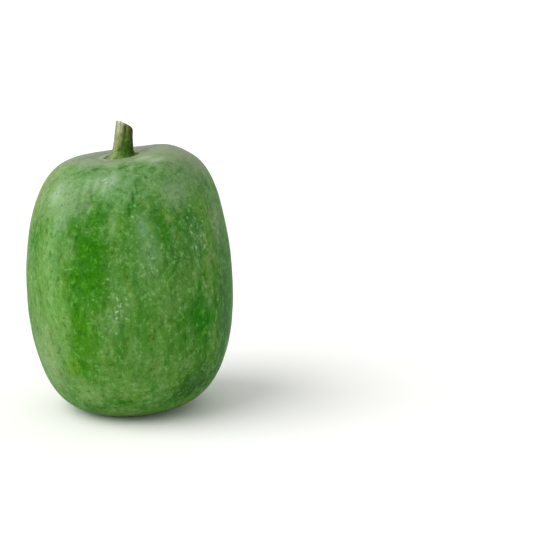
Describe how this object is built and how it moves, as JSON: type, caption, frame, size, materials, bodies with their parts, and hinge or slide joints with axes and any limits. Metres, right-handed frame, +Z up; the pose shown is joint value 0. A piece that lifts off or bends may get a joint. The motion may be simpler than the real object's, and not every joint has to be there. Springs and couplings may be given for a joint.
{
  "type": "wax gourd",
  "caption": "Small whole wax gourd with a short cut stalk, an upright squash with a broad crown, straight sides and a flattened blossom end.",
  "frame": {"origin": "on the resting surface, under the middle of the fruit's outline", "axes": "+Z up along the fruit from blossom end to stalk, +X towards the higher shoulder, -Y towards the side seen in the picture"},
  "size_m": [0.129, 0.127, 0.1831],
  "materials": {
    "fruit_skin": "satin",
    "stalk_rind": "matte"
  },
  "bodies": {
    "root": {"fruit": "fruit_skin", "stem": "stalk_rind"}
  },
  "joints": []
}
